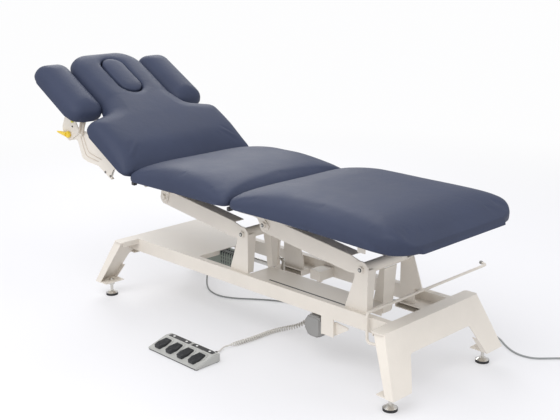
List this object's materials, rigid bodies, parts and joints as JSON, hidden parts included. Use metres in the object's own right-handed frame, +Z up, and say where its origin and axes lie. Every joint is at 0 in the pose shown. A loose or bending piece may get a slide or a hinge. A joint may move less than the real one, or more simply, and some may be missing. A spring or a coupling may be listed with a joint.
{
  "type": "massage table",
  "caption": "Electric height adjustable treatment couch with raising back and leg sections, drop armrests, face hole plug and foot switch.",
  "frame": {"origin": "bottom centre of the whole couch, on the floor", "axes": "+X towards the foot end, +Y across away from the foot switch, +Z up"},
  "size_m": [2.2292, 1.026, 0.9384],
  "materials": {
    "powder_coat": "satin powder coat",
    "vinyl": "soft grained vinyl",
    "zinc_steel": "zinc plated",
    "nickel_steel": "nickel plated",
    "black_rubber": "matt",
    "chrome_rod": "bright",
    "drive_steel": "ground",
    "drive_plastic": "moulded grey green",
    "black_steel": "gloss black",
    "grey_plastic": "moulded",
    "switch_plastic": "moulded",
    "pedal_rubber": "ribbed",
    "yellow_plastic": "moulded",
    "cable_black": "matt",
    "cable_grey": "matt"
  },
  "bodies": {
    "base": {"foot_end_frame": "powder_coat", "head_end_frame": "powder_coat", "near_rail": "powder_coat", "far_rail": "powder_coat", "deck_cover": "powder_coat", "tray": "powder_coat", "rear_beam": "powder_coat", "tower_shelves": "powder_coat", "near_tower_a": "powder_coat", "near_tower_b": "powder_coat", "far_tower_a": "powder_coat", "far_tower_b": "powder_coat", "mid_bracket": "powder_coat", "lower_pivot_bolts": "zinc_steel", "foot_studs": "nickel_steel", "foot_pads": "black_rubber", "junction_box": "grey_plastic", "box_bracket": "powder_coat", "roll_rod": "chrome_rod", "control_boxes": "grey_plastic", "lift_motor": "drive_plastic", "switch_housing": "switch_plastic", "mains_cable": "cable_black", "mains_coil": "cable_black", "mains_plug": "cable_black", "switch_lead": "cable_grey", "curly_cord": "cable_grey"},
    "arm_a": {"arm_a_near": "powder_coat", "arm_a_far": "powder_coat", "arm_a_tubes": "powder_coat", "lift_lever": "powder_coat"},
    "arm_b": {"arm_b_near": "powder_coat", "arm_b_far": "powder_coat", "arm_b_tubes": "powder_coat"},
    "seat": {"seat_frame": "powder_coat", "seat_pad": "vinyl", "upper_pivot_bolts": "zinc_steel", "hinge_pins": "zinc_steel", "back_motor": "drive_plastic", "leg_spring": "black_steel"},
    "leg": {"leg_frame": "powder_coat", "leg_pad": "vinyl"},
    "back": {"back_frame": "powder_coat", "back_pad": "vinyl", "side_arm_near": "powder_coat", "side_arm_far": "powder_coat"},
    "rest_near": {"rest_pad_near": "vinyl", "rest_bracket_near": "powder_coat"},
    "rest_far": {"rest_pad_far": "vinyl", "rest_bracket_far": "powder_coat"},
    "lever_near": {"clamp_lever_near": "yellow_plastic"},
    "lever_far": {"clamp_lever_far": "yellow_plastic"},
    "plug": {"face_plug": "vinyl"},
    "lift_rod": {"lift_rod": "drive_steel"},
    "back_rod": {"back_rod": "drive_steel"},
    "leg_rod": {"leg_rod": "drive_steel"},
    "pedal_1": {"pedal_1": "pedal_rubber"},
    "pedal_2": {"pedal_2": "pedal_rubber"},
    "pedal_3": {"pedal_3": "pedal_rubber"},
    "pedal_4": {"pedal_4": "pedal_rubber"}
  },
  "joints": [
    {"name": "lift_a", "type": "hinge", "parent": "base", "child": "arm_a", "pos_m": [0.11361, -0.03738, 0.382], "axis": [0, 1, 0], "range_deg": [-14, 50]},
    {"name": "lift_b", "type": "hinge", "parent": "base", "child": "arm_b", "pos_m": [0.67361, -0.03738, 0.382], "axis": [0, 1, 0], "range_deg": [-14, 50]},
    {"name": "top_level", "type": "hinge", "parent": "arm_a", "child": "seat", "pos_m": [-0.33463, -0.03738, 0.44022], "axis": [0, 1, 0], "range_deg": [-50, 14]},
    {"name": "back_tilt", "type": "hinge", "parent": "seat", "child": "back", "pos_m": [-0.33459, -0.00538, 0.513], "axis": [0, 1, 0], "range_deg": [-30, 15]},
    {"name": "leg_tilt", "type": "hinge", "parent": "seat", "child": "leg", "pos_m": [0.20761, -0.00538, 0.513], "axis": [0, -1, 0], "range_deg": [0, 16]},
    {"name": "rest_near_drop", "type": "hinge", "parent": "back", "child": "rest_near", "pos_m": [-0.80434, -0.26738, 0.63987], "axis": [0, -1, 0], "range_deg": [0, 40]},
    {"name": "rest_far_drop", "type": "hinge", "parent": "back", "child": "rest_far", "pos_m": [-0.80434, 0.25662, 0.63987], "axis": [0, -1, 0], "range_deg": [0, 40]},
    {"name": "lever_near_turn", "type": "hinge", "parent": "back", "child": "lever_near", "pos_m": [-0.80434, -0.27538, 0.63987], "axis": [0, -1, 0], "range_deg": [0, 60]},
    {"name": "lever_far_turn", "type": "hinge", "parent": "back", "child": "lever_far", "pos_m": [-0.80434, 0.26462, 0.63987], "axis": [0, -1, 0], "range_deg": [0, 60]},
    {"name": "plug_lift", "type": "slide", "parent": "back", "child": "plug", "axis": [0.5, 0, 0.866], "range_m": [0, 0.06]},
    {"name": "lift_stroke", "type": "slide", "parent": "base", "child": "lift_rod", "axis": [1, 0, 0], "range_m": [-0.1446, 0.0406]},
    {"name": "back_stroke", "type": "slide", "parent": "seat", "child": "back_rod", "axis": [1, 0, 0], "range_m": [-0.0168, 0.0334]},
    {"name": "leg_stroke", "type": "slide", "parent": "seat", "child": "leg_rod", "axis": [1, 0, 0], "range_m": [0, 0.017]},
    {"name": "pedal_1_press", "type": "hinge", "parent": "base", "child": "pedal_1", "pos_m": [0.02511, -0.42338, 0.024], "axis": [1, 0, 0], "range_deg": [0, 5], "stiffness_Nm_per_rad": 2, "springref_deg": -5.73},
    {"name": "pedal_2_press", "type": "hinge", "parent": "base", "child": "pedal_2", "pos_m": [0.08611, -0.42338, 0.024], "axis": [1, 0, 0], "range_deg": [0, 5], "stiffness_Nm_per_rad": 2, "springref_deg": -5.73},
    {"name": "pedal_3_press", "type": "hinge", "parent": "base", "child": "pedal_3", "pos_m": [0.14711, -0.42338, 0.024], "axis": [1, 0, 0], "range_deg": [0, 5], "stiffness_Nm_per_rad": 2, "springref_deg": -5.73},
    {"name": "pedal_4_press", "type": "hinge", "parent": "base", "child": "pedal_4", "pos_m": [0.20811, -0.42338, 0.024], "axis": [1, 0, 0], "range_deg": [0, 5], "stiffness_Nm_per_rad": 2, "springref_deg": -5.73}
  ],
  "couplings": [
    {"joint": "lift_b", "follows": "lift_a", "ratio": 1},
    {"joint": "top_level", "follows": "lift_a", "ratio": -1},
    {"joint": "lift_stroke", "follows": "lift_a", "m_per_rad": -0.1655},
    {"joint": "back_stroke", "follows": "back_tilt", "m_per_rad": -0.0634},
    {"joint": "leg_stroke", "follows": "leg_tilt", "m_per_rad": 0.0597}
  ]
}
